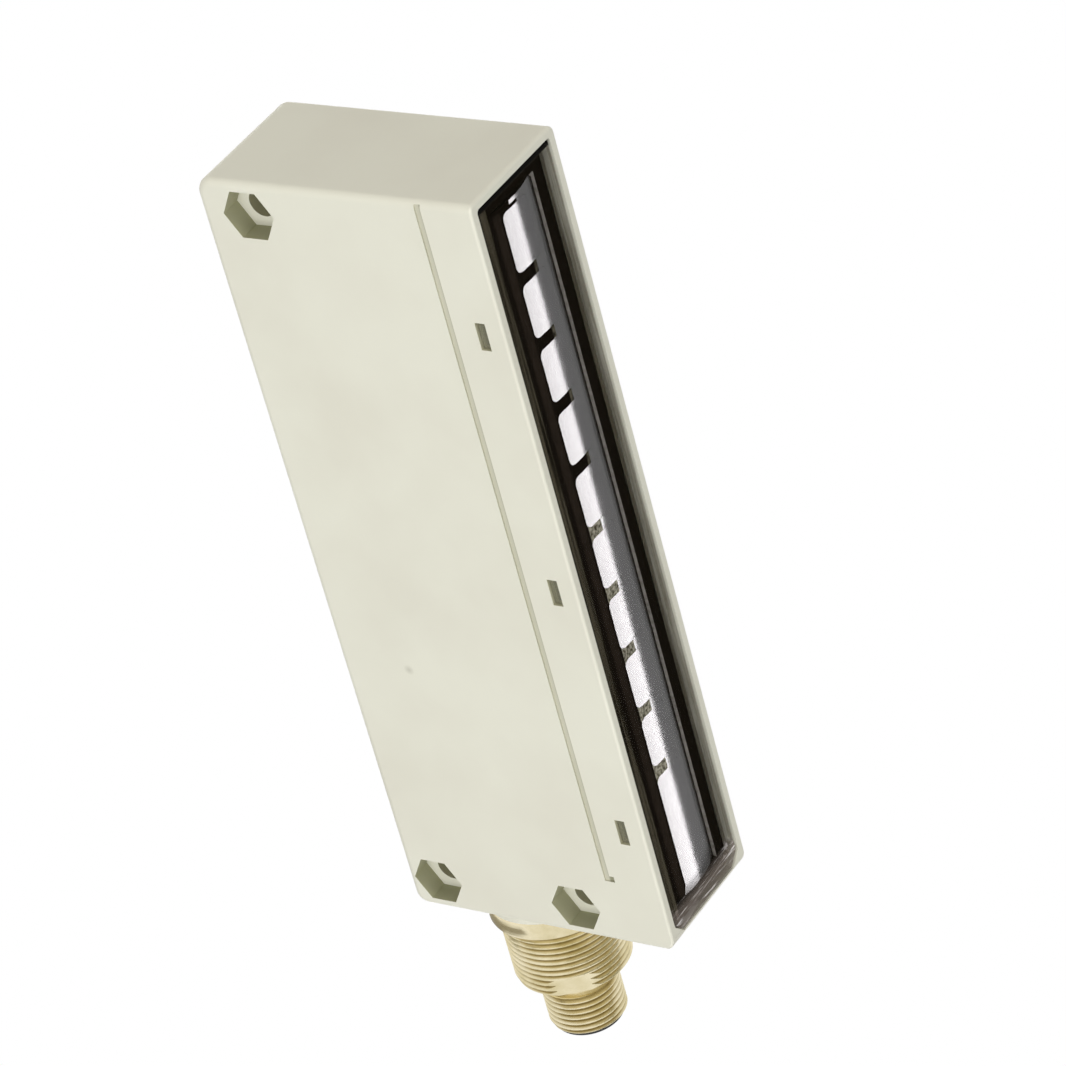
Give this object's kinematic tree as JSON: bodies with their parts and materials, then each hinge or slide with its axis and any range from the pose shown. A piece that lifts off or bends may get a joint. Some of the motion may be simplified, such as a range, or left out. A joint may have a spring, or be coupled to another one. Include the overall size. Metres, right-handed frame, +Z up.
{
  "type": "area sensor",
  "caption": "Slim block-shaped area sensor head with a lens window along its narrow front, hex nut pockets in its side and a threaded brass connector neck.",
  "frame": {"origin": "on the neck's axis, at the underside of the neck's flange, where a bracket seats", "axes": "+Z up along the neck's axis from the connector to the housing's top, -Y out of the window, -X out of the face with the hex pockets"},
  "size_m": [0.0212, 0.0448, 0.1504],
  "materials": {
    "housing_plastic": "fine moulded grain",
    "clear_plastic": "clear, polished",
    "lens_plastic": "near-black infrared-pass tint, polished",
    "black_plastic": "satin",
    "black_rubber": "dull",
    "brass": "turned, light nickel tone",
    "gold_contact": "plated",
    "board": "lacquered circuit board",
    "chip": "moulded",
    "emitter": "clear",
    "capacitor_can": "satin",
    "wire_brown": "smooth",
    "wire_white": "smooth",
    "wire_blue": "smooth",
    "wire_black": "smooth"
  },
  "bodies": {
    "root": {"housing": "housing_plastic", "front_window": "clear_plastic", "window_gasket": "black_rubber", "lens_bar": "lens_plastic", "aperture_mask": "black_plastic", "optics_holder": "black_plastic", "optics_board": "board", "main_board": "board", "board_link": "black_plastic", "processor": "chip", "driver_chip_1": "chip", "driver_chip_2": "chip", "regulator": "chip", "capacitor_1": "capacitor_can", "capacitor_2": "capacitor_can", "connector_body": "brass", "neck_seal": "black_rubber", "carrier_seal": "black_rubber", "contact_carrier": "black_plastic", "emitter_1": "emitter", "emitter_2": "emitter", "emitter_3": "emitter", "emitter_4": "emitter", "emitter_5": "emitter", "emitter_6": "emitter", "emitter_7": "emitter", "emitter_8": "emitter", "emitter_9": "emitter", "emitter_10": "emitter", "contact_pin_1": "gold_contact", "contact_pin_2": "gold_contact", "contact_pin_3": "gold_contact", "contact_pin_4": "gold_contact", "wire_1": "wire_brown", "wire_2": "wire_white", "wire_3": "wire_blue", "wire_4": "wire_black"}
  },
  "joints": []
}
